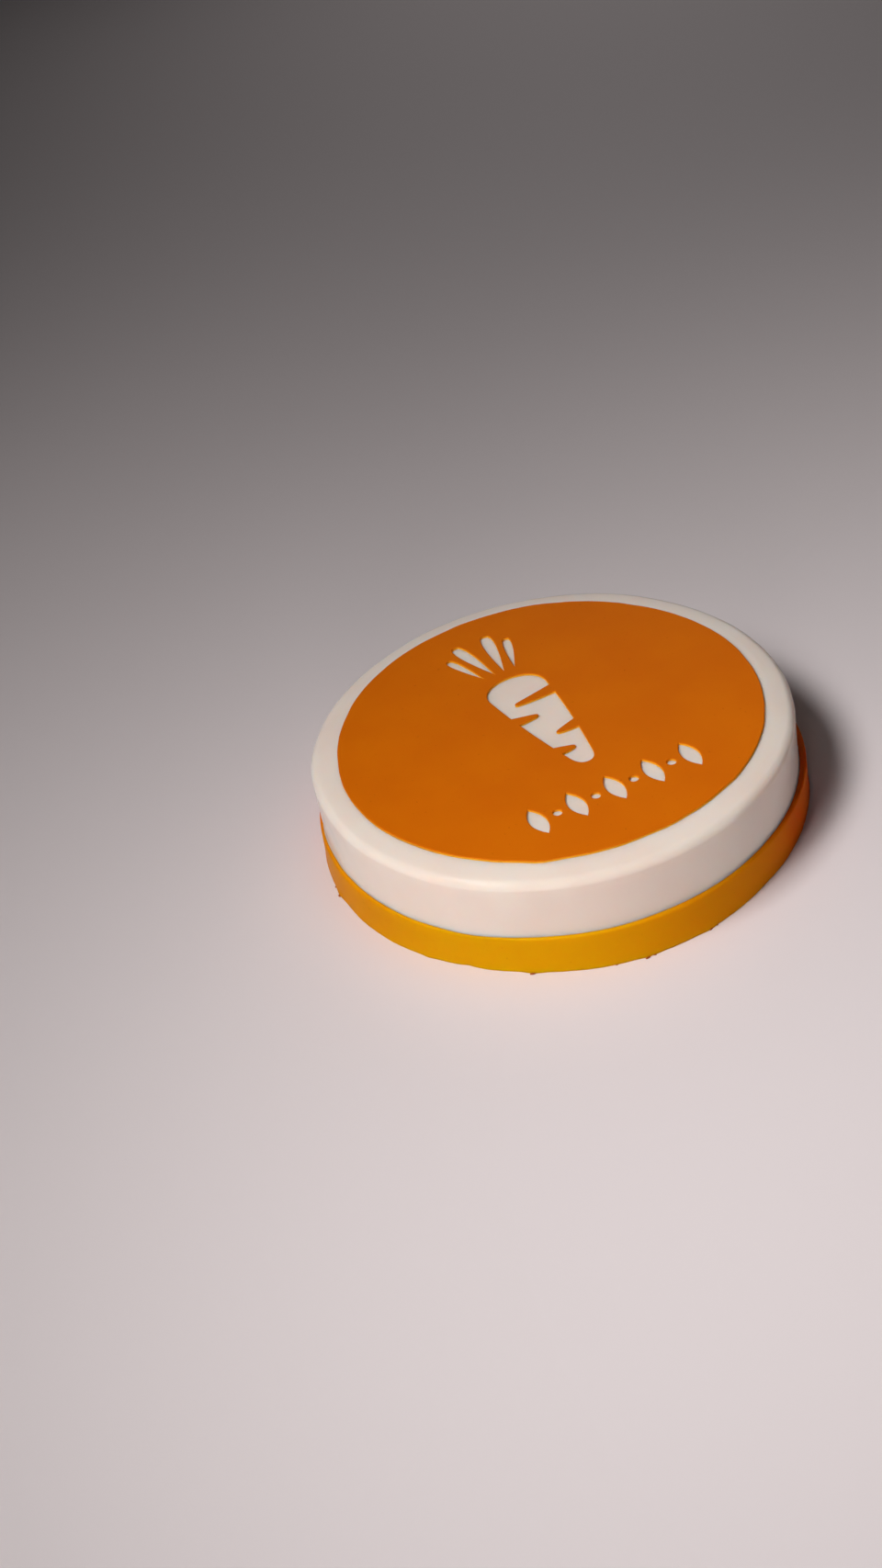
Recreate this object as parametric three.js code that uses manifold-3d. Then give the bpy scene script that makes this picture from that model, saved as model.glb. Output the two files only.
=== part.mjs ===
// Carrot cake, a low round cake that nobody has cut yet.
// Millimetres, +Z up. The origin is the middle of the foot, on the surface that the cake stands on.
// +Y runs up the carrot figure, from its tip to its leaves.

import * as THREE from 'three';
import { mergeVertices } from 'three/addons/utils/BufferGeometryUtils.js';
import Module from 'manifold-3d';

const wasm = await Module();
wasm.setup();

// Base layer: a smooth set layer that narrows upwards, and stands a little out from the cream
const baseRadius = 89.3;
const baseHeight = 14.5;
const baseDraft = 0.6;
const baseTopEdge = 0.8;
const baseTopEdgeSteps = 3;
const baseMiddle = 8.7;
const baseSegments = 200;

// Places where the base swells or is pressed in at its foot, and the share of that at its top
const baseMarks = [
  { at: -98, out: 1.3, width: 28, atTop: 0.5 },
  { at: 82, out: 1.3, width: 28, atTop: 0.5 },
  { at: -140, out: -0.8, width: 22, atTop: 0.5 },
  { at: -30, out: 1.2, width: 32, atTop: 1.3 },
];

// Foot of the base: it spreads a little and is nicked where the mould was lifted off
const footHeight = 3.5;
const footSpread = 0.2;
const footUnderEdge = 0.4;
const footUnderEdgeHeight = 0.875;
const footMarks = [
  { at: 177, out: 0.5, width: 3 },
  { at: 152, out: 0.5, width: 3 },
  { at: 96, out: 0.5, width: 3 },
  { at: 41, out: -0.4, width: 3 },
  { at: 8, out: 0.5, width: 3 },
  { at: -85, out: 0.4, width: 3 },
  { at: -100, out: 0.5, width: 3 },
  { at: -125, out: 0.7, width: 3 },
  { at: -140, out: -0.5, width: 3 },
  { at: -150, out: 0.4, width: 3 },
];

// Cream layer: the thick middle. Its top slopes gently down past the sheet to a rounded shoulder
const creamRadius = 87.2;
const creamHeight = 23.75;
const creamFlat = 79;
const creamSlope = 0.17;
const creamSlopeFrom = 24;
const creamTopEdge = 3;
const creamTopEdgeSteps = 8;
const creamFootEdge = 0.3;
const creamFootEdgeSteps = 2;
const creamSegments = 144;
const creamMarks = [
  { at: 110, out: -1.3, width: 24 },
  { at: 45, out: 0.9, width: 24 },
  { at: 152, out: 0.7, width: 18 },
];

// Top sheet: thin, flat, laid on the cream, with the figures cut through it
const sheetRadius = 77.1;
const sheetShift = { x: -0.15, y: 0.3 };
const sheetThickness = 1;
const sheetSegments = 160;
const sheetBulge = { at: -120, out: 0.7, width: 6 };
const cutOverrun = 1;

// Carrot figure
const carrotTipY = -29.5;
const carrotCrownY = 33.5;
const carrotShoulderY = 24;
const carrotShoulder = 11.6;
const carrotTip = 3.6;
const carrotTipRise = 6;
const carrotTipFlare = 1.3;
const carrotBelly = 10;
const carrotBellyY = 2.4;
const carrotCrownRound = 0.5;
const carrotSteps = 14;
const notchMouth = 5.6;
const notchEnd = 1.7;
const notchDrop = 1.3;
const notchOverrun = 3;
const notchSteps = 8;
const notches = [
  { side: 1, y: 17.6, reach: 0.7 },
  { side: -1, y: 7.2, reach: 0.4 },
  { side: 1, y: -6.4, reach: 0.5 },
  { side: -1, y: -17.4, reach: 0.5 },
];
const leafGap = 5;
const leafFoot = { width: 0.5, rise: 0.25 };
const leafHead = { width: 2, rise: 1.08 };
const leafSteps = 9;
const leaves = [
  { x: 1.9, lean: 10, length: 26, halfWidth: 2.4 },
  { x: 6.4, lean: 17.5, length: 20, halfWidth: 1.7 },
];

// Border row under the carrot: pointed seeds with dots between them
const seedCount = 5;
const seedPitch = 15;
const seedY = -48;
const seedLength = 15.5;
const seedHalfWidth = 3.1;
const seedSteps = 9;
const dotRadius = 1.7;
const dotSegments = 20;

// Waves round the cake that keep each hand-made layer from being a perfect circle, in millimetres
const baseWaves = [
  { turns: 2, height: 0.18, phase: 0.7 },
  { turns: 5, height: 0.1, phase: 2.1 },
  { turns: 11, height: 0.05, phase: 4.4 },
];
const footWaves = [
  { turns: 13, height: 0.08, phase: 1.2 },
  { turns: 29, height: 0.05, phase: 0.3 },
];
const creamWaves = [
  { turns: 3, height: 0.16, phase: 1.9 },
  { turns: 7, height: 0.1, phase: 0.4 },
  { turns: 12, height: 0.06, phase: 5.1 },
];
const sheetWaves = [
  { turns: 3, height: 0.2, phase: 4.0 },
  { turns: 6, height: 0.15, phase: 1.0 },
  { turns: 17, height: 0.07, phase: 0.9 },
  { turns: 31, height: 0.05, phase: 4.0 },
];

const creamFoot = baseHeight;
const creamTop = baseHeight + creamHeight;
const weldDistance = 1e-4;
const nearAxis = 1;
const radians = THREE.MathUtils.degToRad;

function wave(angle, waves) {
  return waves.reduce((sum, one) => sum + one.height * Math.sin(one.turns * angle + one.phase), 0);
}

// Soft bumps and dents along an edge, each with its place, its height and its width along the edge
function relieved(angle, radius, marks) {
  return marks.reduce((sum, { at, out, width }) => {
    const turn = angle - radians(at);
    const arc = radius * Math.atan2(Math.sin(turn), Math.cos(turn));
    return sum + out * Math.exp(-((arc / width) ** 2));
  }, 0);
}

// A quarter round from a vertical side to a flat top, as points of a profile
function topEdge(radius, top, edge, steps) {
  const points = [];
  for (let i = 0; i <= steps; i += 1) {
    const angle = (Math.PI / 2) * (i / steps);
    const x = radius - edge + edge * Math.cos(angle);
    const y = top - edge + edge * Math.sin(angle);
    points.push(new THREE.Vector2(x, y));
  }
  return points;
}

// A solid of revolution about +Z, its points then moved in or out by relief(angle, z, radius)
function turned(profile, segments, relief) {
  const geometry = new THREE.LatheGeometry(profile, segments).rotateX(Math.PI / 2);
  const position = geometry.attributes.position;
  for (let i = 0; i < position.count; i += 1) {
    const x = position.getX(i);
    const y = position.getY(i);
    const radius = Math.hypot(x, y);
    if (radius < nearAxis) {
      position.setXY(i, 0, 0);
      continue;
    }
    const angle = Math.atan2(y, x);
    const scale = (radius + relief(angle, position.getZ(i), radius)) / radius;
    position.setXY(i, x * scale, y * scale);
  }
  return welded(geometry);
}

function welded(geometry) {
  geometry.deleteAttribute('normal');
  geometry.deleteAttribute('uv');
  return mergeVertices(geometry, weldDistance);
}

function solid(geometry) {
  const merged = welded(geometry);
  return new wasm.Manifold(new wasm.Mesh({
    numProp: 3,
    vertProperties: new Float32Array(merged.attributes.position.array),
    triVerts: new Uint32Array(merged.index.array),
  }));
}

function geometryOf(manifold) {
  const mesh = manifold.getMesh();
  const geometry = new THREE.BufferGeometry();
  geometry.setAttribute('position', new THREE.BufferAttribute(mesh.vertProperties, 3));
  geometry.setIndex(new THREE.BufferAttribute(mesh.triVerts, 1));
  return geometry;
}

function plate(shape, low, high, steps) {
  const settings = { depth: high - low, bevelEnabled: false, curveSegments: steps };
  return new THREE.ExtrudeGeometry(shape, settings).translate(0, 0, low);
}

function baseLayer() {
  const narrowed = (z) => baseRadius - baseDraft * (z / baseHeight);
  const profile = [
    new THREE.Vector2(0, 0),
    new THREE.Vector2(baseRadius - footUnderEdge, 0),
    new THREE.Vector2(narrowed(footUnderEdgeHeight), footUnderEdgeHeight),
    new THREE.Vector2(narrowed(footHeight), footHeight),
    new THREE.Vector2(narrowed(baseMiddle), baseMiddle),
    ...topEdge(narrowed(baseHeight), baseHeight, baseTopEdge, baseTopEdgeSteps),
    new THREE.Vector2(0, baseHeight),
  ];
  return turned(profile, baseSegments, (angle, z) => {
    const nearFoot = Math.max(0, 1 - z / footHeight) ** 2;
    const foot = footSpread + wave(angle, footWaves) + relieved(angle, baseRadius, footMarks);
    const marks = baseMarks.map((mark) => {
      const share = THREE.MathUtils.mapLinear(z, 0, baseHeight, 1, mark.atTop);
      return { ...mark, out: mark.out * share };
    });
    return wave(angle, baseWaves) + relieved(angle, baseRadius, marks) + nearFoot * foot;
  });
}

// The cream's top sinks a little from the sheet's edge outwards, and its side less and less below
function sunk(point) {
  const out = Math.max(0, point.x - creamFlat);
  const share = Math.max(0, (point.y - creamSlopeFrom) / (creamTop - creamSlopeFrom));
  return new THREE.Vector2(point.x, point.y - creamSlope * out * share);
}

function creamLayer() {
  const underside = topEdge(creamRadius, 0, creamFootEdge, creamFootEdgeSteps).reverse();
  const profile = [
    new THREE.Vector2(0, creamFoot),
    ...underside.map((point) => new THREE.Vector2(point.x, creamFoot - point.y)),
    new THREE.Vector2(creamRadius, creamSlopeFrom),
    ...topEdge(creamRadius, creamTop, creamTopEdge, creamTopEdgeSteps).map(sunk),
    new THREE.Vector2(creamFlat, creamTop),
    new THREE.Vector2(0, creamTop),
  ];
  return turned(profile, creamSegments, (angle, z, radius) => {
    const marks = relieved(angle, creamRadius, creamMarks) * ((z - creamFoot) / creamHeight);
    const share = THREE.MathUtils.clamp((radius - creamFlat) / (creamRadius - creamFlat), 0, 1);
    return share * (wave(angle, creamWaves) + marks);
  });
}

// One side of a figure as points, and its mirror image, joined into one outline
function mirrored(halfPath, steps) {
  const right = halfPath.getPoints(steps);
  const left = right.slice(1, -1).map((point) => new THREE.Vector2(-point.x, point.y));
  return new THREE.Shape([...right, ...left.reverse()]);
}

function carrotBody() {
  const half = new THREE.Path();
  half.moveTo(0, carrotTipY);
  const flare = carrotTip * carrotTipFlare;
  half.quadraticCurveTo(carrotTip, carrotTipY, flare, carrotTipY + carrotTipRise);
  half.quadraticCurveTo(carrotBelly, carrotBellyY, carrotShoulder, carrotShoulderY);
  half.bezierCurveTo(
    carrotShoulder, (carrotShoulderY + 2 * carrotCrownY) / 3,
    carrotShoulder * carrotCrownRound, carrotCrownY,
    0, carrotCrownY,
  );
  return mirrored(half, carrotSteps);
}

// Half the width of the carrot at a height, near enough to reach a notch in to a share of it
function carrotHalfWidth(y) {
  return THREE.MathUtils.mapLinear(y, carrotTipY, carrotShoulderY, carrotTip, carrotShoulder);
}

// A tapered tongue of the sheet that is left standing in from the carrot's side
function carrotNotch({ side, y, reach }) {
  const halfWidth = carrotHalfWidth(y);
  const mouthX = side * (halfWidth + notchOverrun);
  const endX = side * halfWidth * (1 - 2 * reach);
  const endY = y - notchDrop;
  const middleX = (endX + side * halfWidth) / 2;
  const tongue = new THREE.Shape();
  tongue.moveTo(mouthX, y - notchMouth / 2);
  tongue.quadraticCurveTo(middleX, endY - notchEnd, endX, endY - notchEnd / 2);
  tongue.quadraticCurveTo(endX - side * notchEnd, endY, endX, endY + notchEnd / 2);
  tongue.quadraticCurveTo(middleX, y + notchEnd / 2, mouthX, y + notchMouth / 2);
  return tongue;
}

// A leaf blade: a thin foot, widest near its round end
function leafBlade({ length, halfWidth }) {
  const half = new THREE.Path();
  half.moveTo(0, 0);
  half.bezierCurveTo(
    halfWidth * leafFoot.width, length * leafFoot.rise,
    halfWidth * leafHead.width, length * leafHead.rise,
    0, length,
  );
  return mirrored(half, leafSteps);
}

// A seed pointed at both ends
function seed() {
  const half = new THREE.Path();
  half.moveTo(0, -seedLength / 2);
  half.quadraticCurveTo(seedHalfWidth * 2, 0, 0, seedLength / 2);
  return mirrored(half, seedSteps);
}

function sheetOutline() {
  const points = [];
  for (let i = 0; i < sheetSegments; i += 1) {
    const angle = 2 * Math.PI * (i / sheetSegments);
    const radius = sheetRadius + wave(angle, sheetWaves) + relieved(angle, sheetRadius, [sheetBulge]);
    const x = sheetShift.x + radius * Math.cos(angle);
    const y = sheetShift.y + radius * Math.sin(angle);
    points.push(new THREE.Vector2(x, y));
  }
  return new THREE.Shape(points);
}

function topSheet() {
  const below = creamTop - cutOverrun;
  const above = creamTop + sheetThickness + cutOverrun;
  const cutter = (shape) => plate(shape, below, above, 1);
  let sheet = solid(plate(sheetOutline(), creamTop, creamTop + sheetThickness, 1));

  let body = solid(cutter(carrotBody()));
  for (const notch of notches) {
    const tongue = plate(carrotNotch(notch), below - cutOverrun, above + cutOverrun, notchSteps);
    body = body.subtract(solid(tongue));
  }
  sheet = sheet.subtract(body);

  for (const leaf of leaves) {
    for (const side of [-1, 1]) {
      const blade = cutter(leafBlade(leaf));
      blade.rotateZ(-side * radians(leaf.lean));
      blade.translate(side * leaf.x, carrotCrownY + leafGap, 0);
      sheet = sheet.subtract(solid(blade));
    }
  }

  const rowStart = -seedPitch * (seedCount - 1) / 2;
  for (let i = 0; i < seedCount; i += 1) {
    const x = rowStart + i * seedPitch;
    sheet = sheet.subtract(solid(cutter(seed()).translate(x, seedY, 0)));
    if (i < seedCount - 1) {
      const dot = new THREE.CylinderGeometry(dotRadius, dotRadius, above - below, dotSegments);
      dot.rotateX(Math.PI / 2);
      dot.translate(x + seedPitch / 2, seedY, (above + below) / 2);
      sheet = sheet.subtract(solid(dot));
    }
  }
  return geometryOf(sheet);
}

function piece(name, geometry, color, roughness) {
  geometry.computeVertexNormals();
  const material = new THREE.MeshStandardMaterial({ color, roughness, metalness: 0 });
  const mesh = new THREE.Mesh(geometry, material);
  mesh.name = name;
  return mesh;
}

const cake = new THREE.Group();
cake.add(piece('base_layer', baseLayer(), 0xd48a08, 0.4));
cake.add(piece('cream_layer', creamLayer(), 0xe3d0c4, 0.5));
cake.add(piece('top_sheet', topSheet(), 0xc4670a, 0.5));

export default cake;
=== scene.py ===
# Carrot cake: a low round uncut cake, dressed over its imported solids.
# Metres, +Z up. Sizes in the dictionaries are millimetres and angles are degrees.
import math
import random

import bpy
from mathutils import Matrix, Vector, noise


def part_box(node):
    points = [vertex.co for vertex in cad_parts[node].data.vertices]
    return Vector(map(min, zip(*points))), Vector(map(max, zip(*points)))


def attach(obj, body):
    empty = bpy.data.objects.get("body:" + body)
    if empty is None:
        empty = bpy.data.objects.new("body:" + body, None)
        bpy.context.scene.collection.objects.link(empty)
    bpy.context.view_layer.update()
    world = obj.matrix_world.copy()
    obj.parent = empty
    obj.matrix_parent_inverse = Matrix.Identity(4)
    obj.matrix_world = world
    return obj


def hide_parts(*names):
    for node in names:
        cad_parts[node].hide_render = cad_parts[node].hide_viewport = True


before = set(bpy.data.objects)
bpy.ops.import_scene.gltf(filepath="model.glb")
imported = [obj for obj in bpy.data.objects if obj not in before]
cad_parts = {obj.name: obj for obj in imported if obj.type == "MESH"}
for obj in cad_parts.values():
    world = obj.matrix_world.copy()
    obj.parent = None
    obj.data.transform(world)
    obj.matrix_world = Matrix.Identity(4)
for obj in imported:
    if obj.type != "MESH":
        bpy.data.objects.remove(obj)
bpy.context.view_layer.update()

mm = 0.001
# corners whose heights or places differ by less than this many metres count as the same
sameGap = 1e-6
# the height of a face's normal is above flatNormal on a flat face and below sideNormal on a side
flatNormal = 0.999
sideNormal = 0.01
# a mix node's colour sockets by number, as their names repeat for each kind of data
mixShare, mixFirst, mixSecond, mixResult = 0, 6, 7, 2


# Small helpers

def toLinear(hexColour):
    parts = [int(hexColour[i:i + 2], 16) / 255 for i in (1, 3, 5)]
    linear = [p / 12.92 if p <= 0.04045 else ((p + 0.055) / 1.055) ** 2.4 for p in parts]
    return (*linear, 1.0)


def scaleFor(size):
    # a noise texture's scale, from the real size of its pattern
    return 1 / (size * mm)


def clamp(value):
    return min(1.0, max(0.0, value))


def deselectAll():
    if bpy.context.object and bpy.context.object.mode != "OBJECT":
        bpy.ops.object.mode_set(mode="OBJECT")
    bpy.ops.object.select_all(action="DESELECT")


def pick(piece):
    deselectAll()
    piece.select_set(True)
    bpy.context.view_layer.objects.active = piece


def editPicked(piece, chooseEdge=None, chooseFace=None):
    # opens edit mode with only the chosen edges or faces selected
    pick(piece)
    bpy.ops.object.mode_set(mode="EDIT")
    bpy.ops.mesh.select_mode(type="EDGE" if chooseEdge else "FACE")
    bpy.ops.mesh.select_all(action="DESELECT")
    bpy.ops.object.mode_set(mode="OBJECT")
    mesh = piece.data
    if chooseEdge:
        for edge in mesh.edges:
            edge.select = chooseEdge(*(mesh.vertices[i].co for i in edge.vertices))
    if chooseFace:
        for face in mesh.polygons:
            face.select = chooseFace(face.center, face.normal)
    bpy.ops.object.mode_set(mode="EDIT")


def rename(piece, name):
    piece.name = name
    piece.data.name = name


def addNode(tree, kind, settings=None, links=None):
    # settings are the node's own options, its sockets' values or a ramp's stops; links join sockets
    node = tree.nodes.new(kind)
    for name, value in (settings or {}).items():
        if name == "stops":
            marks = node.color_ramp.elements
            while len(marks) < len(value):
                marks.new(0.5)
            for mark, (place, colour) in zip(marks, value):
                mark.position = place
                mark.color = toLinear(colour)
        elif isinstance(name, int) or name in node.inputs:
            node.inputs[name].default_value = value
        else:
            setattr(node, name, value)
    for name, output in (links or {}).items():
        tree.links.new(output, node.inputs[name])
    return node


def newMaterial(name):
    # a material with an empty node tree
    material = bpy.data.materials.new(name)
    material.use_nodes = True
    material.node_tree.nodes.clear()
    return material, material.node_tree


def wave(angle, waves):
    return sum(height * math.sin(turns * angle + phase) for turns, height, phase in waves)


def relieved(angle, radius, marks):
    # soft bumps and dents along an edge, each with its place, height and width
    total = 0.0
    for at, out, width in marks:
        turn = angle - math.radians(at)
        arc = radius * math.atan2(math.sin(turn), math.cos(turn))
        total += out * math.exp(-(arc / width) ** 2)
    return total


def pushOut(vertex, radius, out):
    # moves a vertex straight away from the cake's axis
    vertex.co.x *= (radius + out) / radius
    vertex.co.y *= (radius + out) / radius


# Materials

def cloudy(tree, where, look):
    # soft clouds of two close colours
    clouds = addNode(tree, "ShaderNodeTexNoise", look["cloudNoise"], {"Vector": where})
    colour = addNode(tree, "ShaderNodeValToRGB", {"stops": look["clouds"]}, {"Fac": clouds.outputs["Fac"]})
    return colour.outputs["Color"]


def spotted(tree, where, under, spots):
    # patches or flecks of one more colour, where their noise is strong
    texture = addNode(tree, "ShaderNodeTexNoise", spots["noise"], {"Vector": where})
    share = addNode(tree, "ShaderNodeMapRange", spots["range"], {"Value": texture.outputs["Fac"]})
    mixed = addNode(
        tree, "ShaderNodeMix", {"data_type": "RGBA", mixSecond: toLinear(spots["colour"])},
        {mixShare: share.outputs["Result"], mixFirst: under},
    )
    return mixed.outputs[mixResult]


def finishFood(tree, where, look, colour):
    # a fine grain in the surface, and a shader that light goes a little way into
    texture = addNode(tree, "ShaderNodeTexNoise", look["grainNoise"], {"Vector": where})
    relief = addNode(tree, "ShaderNodeBump", look["grain"], {"Height": texture.outputs["Fac"]})
    shader = addNode(
        tree, "ShaderNodeBsdfPrincipled", look["surface"],
        {"Base Color": colour, "Normal": relief.outputs["Normal"]},
    )
    addNode(tree, "ShaderNodeOutputMaterial", links={"Surface": shader.outputs["BSDF"]})


setFruit = {
    # set carrot and mango layer, poured into a ring and chilled: glowing, slightly patchy. Its colour runs
    # from mango
    # # yellow on the lit side to deep red orange on the shaded side, and back to orange on the far side:
    # painted light and painted shade
    "paintedLightAndShade": [
        (0.0, "#e29005"), (0.25, "#e07c05"), (0.44, "#e65005"), (0.6, "#e46005"),
        (0.72, "#e08005"), (0.9, "#e39104"), (1.0, "#e6a303"),
    ],
    "paintedLitSide": -130, "blendWidth": 180,
    "patches": {
        "colour": "#d27e05",
        "noise": {"Scale": scaleFor(40), "Detail": 1.5, "Roughness": 0.45},
        "range": {"From Min": 0.52, "From Max": 0.72, "To Max": 0.35},
    },
    "flecks": {
        "colour": "#cf8506",
        "noise": {"Scale": scaleFor(2.2), "Detail": 3.0, "Roughness": 0.6},
        "range": {"From Min": 0.68, "From Max": 0.8},
    },
    "grainNoise": {"Scale": scaleFor(2.2), "Detail": 3.0, "Roughness": 0.55},
    "grain": {"Strength": 0.3, "Distance": 0.12 * mm},
    "surface": {
        "Roughness": 0.42, "IOR": 1.18, "Specular IOR Level": 0.1,
        "Subsurface Weight": 0.6, "Subsurface Scale": 5.0 * mm, "Subsurface Radius": (1.0, 0.4, 0.05),
    },
}


def makeSetFruit():
    look = setFruit
    material, tree = newMaterial("setFruitLayer")
    where = addNode(tree, "ShaderNodeTexCoord").outputs["Object"]
    # the object's x is turned to the side with the painted light, and runs from 0 to 1 over the blend's
    # width
    across = addNode(
        tree, "ShaderNodeMapping",
        {"vector_type": "TEXTURE", "Rotation": (0, 0, math.radians(look["paintedLitSide"]))}, {"Vector": where},
    )
    split = addNode(tree, "ShaderNodeSeparateXYZ", links={"Vector": across.outputs["Vector"]})
    half = look["blendWidth"] / 2 * mm
    place = addNode(
        tree, "ShaderNodeMapRange", {"From Min": -half, "From Max": half}, {"Value": split.outputs["X"]},
    )
    paintedLightAndShade = addNode(tree, "ShaderNodeValToRGB", {"stops": look["paintedLightAndShade"]}, {"Fac": place.outputs["Result"]})
    patched = spotted(tree, where, paintedLightAndShade.outputs["Color"], look["patches"])
    finishFood(tree, where, look, spotted(tree, where, patched, look["flecks"]))
    return material


creamCheese = {
    # whipped cream cheese mousse, smoothed by the mould: soft white, satin, light goes a little in
    "clouds": [(0.35, "#f4dfd2"), (0.65, "#f9e6da")],
    "cloudNoise": {"Scale": scaleFor(34), "Detail": 2.0, "Roughness": 0.5},
    "grainNoise": {"Scale": scaleFor(1.4), "Detail": 4.0, "Roughness": 0.6},
    "grain": {"Strength": 0.2, "Distance": 0.08 * mm},
    "surface": {
        "Roughness": 0.15, "IOR": 1.35, "Specular IOR Level": 0.1,
        "Subsurface Weight": 0.9, "Subsurface Scale": 4.5 * mm, "Subsurface Radius": (1.0, 0.8, 0.65),
    },
}


def makeCreamCheese():
    look = creamCheese
    material, tree = newMaterial("whippedCreamCheese")
    where = addNode(tree, "ShaderNodeTexCoord").outputs["Object"]
    finishFood(tree, where, look, cloudy(tree, where, look))
    return material


carrotGlaze = {
    # set carrot glaze, rolled out flat and cut: even deep orange, satin, with very faint darker
    # flecks. Light that goes into the thin cut edges makes them a brighter yellow orange
    "clouds": [(0.35, "#dc6b04"), (0.65, "#e07004")],
    "cloudNoise": {"Scale": scaleFor(30), "Detail": 2.5, "Roughness": 0.5},
    "flecks": {
        "colour": "#cc6004",
        "noise": {"Scale": scaleFor(1.3), "Detail": 2.0, "Roughness": 0.5},
        "range": {"From Min": 0.7, "From Max": 0.78},
    },
    # the edge's colour fades out between these shares of the sheet's thickness
    "cutEdge": "#ffbe30", "edgeFrom": 0.2, "edgeTo": 0.9,
    "grainNoise": {"Scale": scaleFor(1.8), "Detail": 3.0, "Roughness": 0.55},
    "grain": {"Strength": 0.3, "Distance": 0.06 * mm},
    "surface": {
        "Roughness": 0.46, "IOR": 1.15, "Specular IOR Level": 0.2,
        "Subsurface Weight": 0.12, "Subsurface Scale": 0.8 * mm, "Subsurface Radius": (1.0, 0.6, 0.2),
    },
}


def makeCarrotGlaze():
    look = carrotGlaze
    material, tree = newMaterial("carrotGlazeSheet")
    where = addNode(tree, "ShaderNodeTexCoord").outputs["Object"]
    flecked = spotted(tree, where, cloudy(tree, where, look), look["flecks"])
    low, high = (corner[2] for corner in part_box("top_sheet"))
    edge = {
        "From Min": low + look["edgeFrom"] * (high - low),
        "From Max": low + look["edgeTo"] * (high - low),
    }
    split = addNode(tree, "ShaderNodeSeparateXYZ", links={"Vector": where})
    topShare = addNode(tree, "ShaderNodeMapRange", edge, {"Value": split.outputs["Z"]})
    mixed = addNode(
        tree, "ShaderNodeMix", {"data_type": "RGBA", mixFirst: toLinear(look["cutEdge"])},
        {mixShare: topShare.outputs["Result"], mixSecond: flecked},
    )
    finishFood(tree, where, look, mixed.outputs[mixResult])
    return material


bakedCrumb = {
    # baked carrot crumb: dull orange brown, rough
    "clouds": [(0.35, "#9c420a"), (0.65, "#bf660c")],
    "cloudNoise": {"Scale": scaleFor(1.0), "Detail": 2.0, "Roughness": 0.5},
    "surface": {"Roughness": 0.7},
}


def makeCrumb():
    look = bakedCrumb
    material, tree = newMaterial("bakedCrumb")
    where = addNode(tree, "ShaderNodeTexCoord").outputs["Object"]
    colour = cloudy(tree, where, look)
    shader = addNode(tree, "ShaderNodeBsdfPrincipled", look["surface"], {"Base Color": colour})
    addNode(tree, "ShaderNodeOutputMaterial", links={"Surface": shader.outputs["BSDF"]})
    return material


# Pieces

def addDrum(name, shape):
    # a cylinder with both rims rounded, rings cut round its side and rings inset on its two ends
    deselectAll()
    height = shape["high"] - shape["low"]
    bpy.ops.mesh.primitive_cylinder_add(
        vertices=shape["sides"], radius=shape["radius"] * mm, depth=height * mm,
        location=(0, 0, (shape["low"] + height / 2) * mm),
    )
    drum = bpy.context.object
    rename(drum, name)
    bpy.ops.object.transform_apply(location=True, rotation=True, scale=True)
    for level, width, steps in (
        (shape["high"], shape["topRound"], shape["topSteps"]),
        (shape["low"], shape["footRound"], shape["footSteps"]),
    ):
        editPicked(drum, chooseEdge=lambda a, b: all(abs(c.z - level * mm) < sameGap for c in (a, b)))
        bpy.ops.mesh.bevel(offset=width * mm, segments=steps, profile=0.5, affect="EDGES")
    for level in shape["rings"]:
        editPicked(drum, chooseFace=lambda centre, normal: abs(normal.z) < sideNormal)
        bpy.ops.mesh.bisect(plane_co=(0, 0, level * mm), plane_no=(0, 0, 1))
    for side in (1, -1):
        editPicked(drum, chooseFace=lambda centre, normal: normal.z * side > flatNormal)
        for width in shape["capRings"]:
            bpy.ops.mesh.inset(thickness=width * mm)
    bpy.ops.object.mode_set(mode="OBJECT")
    return drum


def finishPiece(piece, material, node=None):
    pick(piece)
    piece.data.materials.clear()
    piece.data.materials.append(material)
    bpy.ops.object.transform_apply(location=True, rotation=True, scale=True)
    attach(piece, "root")
    if node:
        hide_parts(node)
    print("made", piece.name, len(piece.data.polygons), "faces")


baseLayer = {
    "radius": 89.3, "low": 0.0, "high": 14.5, "sides": 720, "draft": 0.6,
    "topRound": 0.8, "topSteps": 5, "footRound": 0.4, "footSteps": 2,
    "rings": [0.9, 1.5, 2.4, 3.5, 5.5, 8.0, 10.5, 12.5],
    "capRings": [1.5, 6.0],
    # the side is uneven, with this much of the top and the foot next to it
    "edgeReach": 2.5,
    # place round the cake, height at the foot, width, and the share of the height that the top keeps
    "marks": [(-98, 1.3, 28, 0.5), (82, 1.3, 28, 0.5), (-140, -0.8, 22, 0.5), (-30, 1.2, 32, 1.3)],
    # turns round the cake, height, phase
    "waves": [(2, 0.18, 0.7), (5, 0.1, 2.1), (11, 0.05, 4.4)],
    "footHeight": 3.5, "footSpread": 0.2,
    "footWaves": [(13, 0.08, 1.2), (29, 0.05, 0.3)],
    "footMarks": [
        (177, 0.5, 3), (152, 0.5, 3), (96, 0.5, 3), (41, -0.4, 3), (8, 0.5, 3),
        (-85, 0.4, 3), (-100, 0.5, 3), (-125, 0.7, 3), (-140, -0.5, 3), (-150, 0.4, 3),
    ],
    "ragSize": 2.6, "rag": 0.1,
    "swellSize": 19.0, "swell": 0.12,
}


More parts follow.
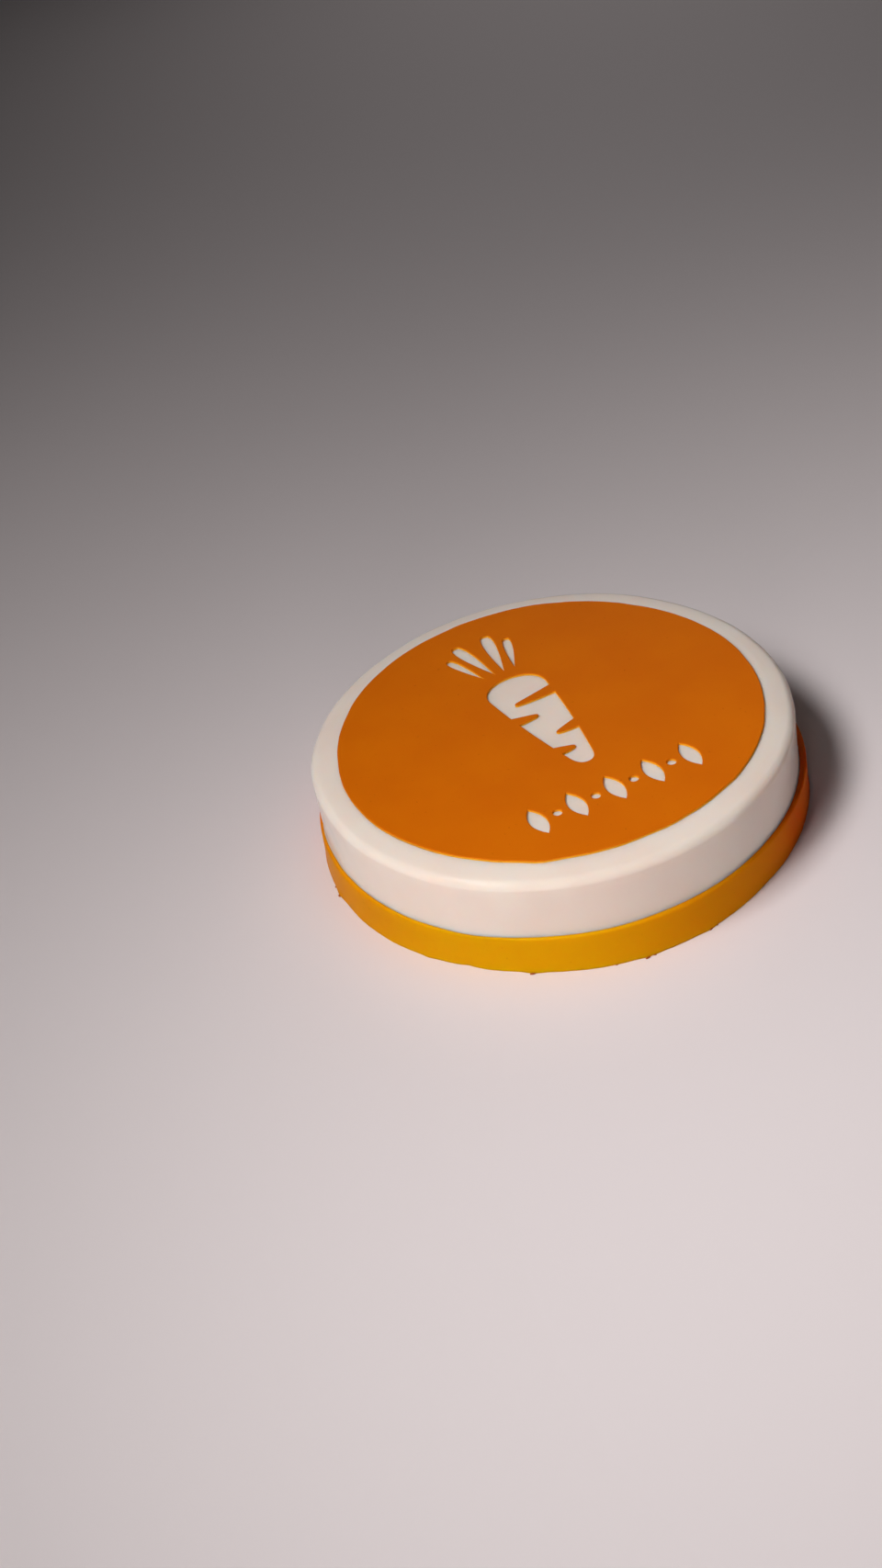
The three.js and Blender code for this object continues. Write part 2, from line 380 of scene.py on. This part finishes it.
def makeBaseLayer():
    shape = baseLayer
    piece = addDrum("base_layer_set", shape)
    for vertex in piece.data.vertices:
        spot = vertex.co / mm
        radius = math.hypot(spot.x, spot.y)
        if radius < shape["radius"] - shape["edgeReach"]:
            continue
        angle = math.atan2(spot.y, spot.x)
        upShare = spot.z / shape["high"]
        nearFoot = max(0.0, 1 - spot.z / shape["footHeight"]) ** 2
        foot = shape["footSpread"] + wave(angle, shape["footWaves"])
        foot += relieved(angle, shape["radius"], shape["footMarks"])
        foot += shape["rag"] * noise.noise(spot / shape["ragSize"])
        marks = [
            (at, height * (1 + (atTop - 1) * upShare), width)
            for at, height, width, atTop in shape["marks"]
        ]
        out = wave(angle, shape["waves"]) - shape["draft"] * upShare
        out += relieved(angle, shape["radius"], marks) + nearFoot * foot
        out += shape["swell"] * noise.noise(spot / shape["swellSize"])
        pushOut(vertex, radius, out)
    pick(piece)
    bpy.ops.object.shade_smooth()
    return piece


creamLayer = {
    # the foot is sunk a little into the base, so that no gap shows between the two
    "radius": 87.2, "low": 14.3, "high": 38.25, "sides": 480,
    "topRound": 3.0, "topSteps": 12, "footRound": 0.1, "footSteps": 1,
    "rings": [14.6, 14.9, 15.3, 16.0, 17.0, 19.0, 21.0, 23.0, 25.0, 27.0, 29.0, 31.0, 33.0],
    "capRings": [1.6, 1.6, 1.6, 2.5],
    # the cream spreads a little where it meets the base
    "flare": 0.5, "flareHeight": 1.4,
    # the top is flat out to here, and then sinks by this share of the way out
    "flat": 79.0, "slope": 0.17, "slopeFrom": 24.0,
    # place round the cake, height at the top, width; they fade out towards the foot
    "marks": [(110, -1.3, 24), (45, 0.9, 24), (152, 0.7, 18)],
    "waves": [(3, 0.16, 1.9), (7, 0.1, 0.4), (12, 0.06, 5.1)],
    "swellSize": 17.0, "swell": 0.22,
    "rippleSize": 5.0, "ripple": 0.05,
}


def makeCreamLayer():
    shape = creamLayer
    piece = addDrum("cream_layer_whipped", shape)
    for vertex in piece.data.vertices:
        spot = vertex.co / mm
        radius = math.hypot(spot.x, spot.y)
        if radius <= shape["flat"]:
            continue
        angle = math.atan2(spot.y, spot.x)
        upShare = (spot.z - shape["low"]) / (shape["high"] - shape["low"])
        out = wave(angle, shape["waves"]) + relieved(angle, shape["radius"], shape["marks"]) * upShare
        out += shape["swell"] * noise.noise(spot / shape["swellSize"])
        out += shape["ripple"] * noise.noise(spot / shape["rippleSize"])
        out += shape["flare"] * clamp(1 - (spot.z - shape["low"]) / shape["flareHeight"]) ** 2
        out *= clamp((radius - shape["flat"]) / (shape["radius"] - shape["flat"]))
        sinking = clamp((spot.z - shape["slopeFrom"]) / (shape["high"] - shape["slopeFrom"]))
        vertex.co.z -= shape["slope"] * (radius - shape["flat"]) * sinking * mm
        pushOut(vertex, radius, out)
    pick(piece)
    bpy.ops.object.shade_smooth()
    return piece


topSheet = {
    "edgeRound": 0.3, "edgeSteps": 4, "guard": 0.05,
    # faces that meet at less than the first angle are joined, and shading is smooth under the second
    "dissolveUnder": 0.5, "smoothUnder": 35,
    # the outer edge wavers a little from here outwards, as a hand cut edge does
    "ragFrom": 72.0, "ragSize": 6.0, "rag": 0.18,
}


def makeTopSheet():
    # a merged copy of the solid, its upper edges softened as a cut glaze sheet's are
    shape = topSheet
    pick(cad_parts["top_sheet"])
    bpy.ops.object.duplicate()
    piece = bpy.context.object
    rename(piece, "top_sheet_glaze")
    editPicked(piece, chooseFace=lambda centre, normal: True)
    bpy.ops.mesh.remove_doubles(threshold=sameGap)
    # the flat faces' slivers are dissolved first, as the next steps would fold them over
    editPicked(piece, chooseFace=lambda centre, normal: abs(normal.z) > flatNormal)
    bpy.ops.mesh.dissolve_limited(angle_limit=math.radians(shape["dissolveUnder"]))
    bpy.ops.object.mode_set(mode="OBJECT")
    for vertex in piece.data.vertices:
        spot = Vector((vertex.co.x, vertex.co.y, 0)) / mm
        if spot.length > shape["ragFrom"]:
            pushOut(vertex, spot.length, shape["rag"] * noise.noise(spot / shape["ragSize"]))
    editPicked(piece, chooseFace=lambda centre, normal: normal.z > flatNormal)
    bpy.ops.transform.translate(value=(0, 0, -shape["edgeRound"] * mm))
    reach = rise = 0.0
    for step in range(1, shape["edgeSteps"] + 1):
        turn = math.pi / 2 * step / shape["edgeSteps"]
        nextReach = shape["edgeRound"] * (1 - math.cos(turn))
        nextRise = shape["edgeRound"] * math.sin(turn)
        bpy.ops.mesh.inset(thickness=(nextReach - reach) * mm, depth=(nextRise - rise) * mm)
        reach, rise = nextReach, nextRise
    # one more narrow flat ring keeps the shading of the flat top even
    bpy.ops.mesh.inset(thickness=shape["guard"] * mm)
    bpy.ops.object.mode_set(mode="OBJECT")
    bpy.ops.object.shade_smooth_by_angle(angle=math.radians(shape["smoothUnder"]))
    return piece


crumbs = {
    "seed": 11,
    # angle round the foot, distance out from the foot, size; each clings flat to the foot
    "seen": [
        (177.5, 0.1, 1.1), (174.0, 0.0, 0.8), (-125.1, 0.0, 1.1), (-107.0, 0.0, 0.8),
        (-100.2, 0.1, 1.2), (-98.6, 0.0, 0.7), (-84.7, 0.0, 1.1), (-83.0, 0.1, 0.7),
    ],
    # the far side, which only other views show, has about as many, between these values
    "unseen": 9, "unseenAngle": (20, 150), "unseenAway": (0.0, 0.2), "unseenSize": (0.7, 1.2),
    # each is roughened by this share of its size, then squashed against the foot and drawn out along it
    "rough": 0.14, "thickness": (0.5, 0.8), "length": (1.1, 1.8), "height": (0.4, 0.6),
    # the turn away from the foot's own direction is in radians
    "twist": (-0.3, 0.3),
}


def makeCrumbs():
    shape = crumbs
    base = baseLayer
    random.seed(shape["seed"])
    spots = list(shape["seen"])
    ranges = [shape[key] for key in ("unseenAngle", "unseenAway", "unseenSize")]
    for _ in range(shape["unseen"]):
        spots.append([random.uniform(*pair) for pair in ranges])
    marks = [mark[:3] for mark in base["marks"]] + base["footMarks"]
    made = []
    for i, (angle, away, size) in enumerate(spots):
        deselectAll()
        turn = math.radians(angle)
        reach = base["radius"] + base["footSpread"] + away + wave(turn, base["waves"])
        reach += relieved(turn, base["radius"], marks)
        place = Vector((reach * math.cos(turn), reach * math.sin(turn), 0)) * mm
        bpy.ops.mesh.primitive_ico_sphere_add(subdivisions=2, radius=size * mm / 2, location=place)
        one = bpy.context.object
        bpy.ops.object.mode_set(mode="EDIT")
        bpy.ops.mesh.select_all(action="SELECT")
        bpy.ops.transform.vertex_random(offset=size * mm * shape["rough"], seed=shape["seed"] + i)
        bpy.ops.object.mode_set(mode="OBJECT")
        one.scale = [random.uniform(*shape[key]) for key in ("thickness", "length", "height")]
        one.rotation_euler = (0, 0, turn + random.uniform(*shape["twist"]))
        bpy.ops.object.transform_apply(location=True, rotation=True, scale=True)
        # each crumb is set down on the surface
        one.location.z = -min(vertex.co.z for vertex in one.data.vertices)
        bpy.ops.object.transform_apply(location=True, rotation=False, scale=False)
        made.append(one)
    deselectAll()
    for one in made:
        one.select_set(True)
    bpy.context.view_layer.objects.active = made[0]
    bpy.ops.object.join()
    piece = bpy.context.object
    rename(piece, "foot_crumbs")
    bpy.ops.object.shade_smooth()
    return piece


# Camera, floor and light

cameraSetup = {
    "place": (-230.2, -542.3, 464.7),
    "turn": (52.368, 9.382, -26.043),
    "lens": 46.4, "sensor": 36.0, "clipStart": 10,
}


def placeCamera():
    deselectAll()
    bpy.ops.object.camera_add(
        location=Vector(cameraSetup["place"]) * mm,
        rotation=[math.radians(a) for a in cameraSetup["turn"]],
    )
    camera = bpy.context.object
    camera.name = "photo_camera"
    camera.data.lens = cameraSetup["lens"]
    camera.data.sensor_width = cameraSetup["sensor"]
    camera.data.sensor_fit = "AUTO"
    camera.data.clip_start = cameraSetup["clipStart"] * mm
    bpy.context.scene.camera = camera
    print("placed the camera")


studio = {
    # matt painted board, pale and faintly pink
    "floorSize": 8000, "floorColour": "#ece0e0", "floorRoughness": 0.75,
    # around and up give each light's direction as seen from lightsCentre, and away its distance.
    # Its disk is so wide, its light spreads by so many degrees, and it points at the aim
    "lightsCentre": (0, 0, 20),
    "lights": [
        {"name": "key_softbox", "around": -172, "up": 60, "away": 900,
         "wide": 300, "spread": 110, "watts": 1.53, "aim": (80, -110, 0)},
        {"name": "front_softbox", "around": -150, "up": 50, "away": 900,
         "wide": 300, "spread": 60, "watts": 0.48, "aim": (160, -240, 0)},
        {"name": "low_fill", "around": -120, "up": 8, "away": 1200,
         "wide": 350, "spread": 180, "watts": 2.5, "aim": (0, 0, 0)},
        {"name": "back_fill", "around": 60, "up": 25, "away": 1400,
         "wide": 600, "spread": 180, "watts": 0.9, "aim": (0, 0, 0)},
    ],
    "skyColour": "#ffffff", "skyStrength": 0.003,
}


def makeBoard():
    material, tree = newMaterial("palePaintedBoard")
    shader = addNode(
        tree, "ShaderNodeBsdfPrincipled",
        {"Roughness": studio["floorRoughness"], "Base Color": toLinear(studio["floorColour"])},
    )
    addNode(tree, "ShaderNodeOutputMaterial", links={"Surface": shader.outputs["BSDF"]})
    return material


def makeFloor():
    deselectAll()
    bpy.ops.mesh.primitive_plane_add(size=studio["floorSize"] * mm)
    floor = bpy.context.object
    floor.name = "studio_floor"
    floor.data.materials.append(makeBoard())


def makeLights():
    centre = Vector(studio["lightsCentre"]) * mm
    for setup in studio["lights"]:
        around, up = math.radians(setup["around"]), math.radians(setup["up"])
        out = Vector((math.cos(up) * math.cos(around), math.cos(up) * math.sin(around), math.sin(up)))
        place = centre + out * setup["away"] * mm
        bpy.ops.object.light_add(type="AREA", location=place)
        light = bpy.context.object
        light.name = setup["name"]
        light.rotation_euler = (Vector(setup["aim"]) * mm - place).to_track_quat("-Z", "Y").to_euler()
        light.data.shape = "DISK"
        light.data.size = setup["wide"] * mm
        light.data.energy = setup["watts"]
        light.data.spread = math.radians(setup["spread"])


def makeSky():
    scene = bpy.context.scene
    scene.world = scene.world or bpy.data.worlds.new("studio_world")
    scene.world.use_nodes = True
    sky = scene.world.node_tree.nodes["Background"]
    sky.inputs["Color"].default_value = toLinear(studio["skyColour"])
    sky.inputs["Strength"].default_value = studio["skyStrength"]
    scene.view_settings.view_transform = "Standard"


placeCamera()
finishPiece(makeBaseLayer(), makeSetFruit(), "base_layer")
finishPiece(makeCreamLayer(), makeCreamCheese(), "cream_layer")
finishPiece(makeTopSheet(), makeCarrotGlaze(), "top_sheet")
finishPiece(makeCrumbs(), makeCrumb())
makeFloor()
makeLights()
makeSky()
print("made the studio")
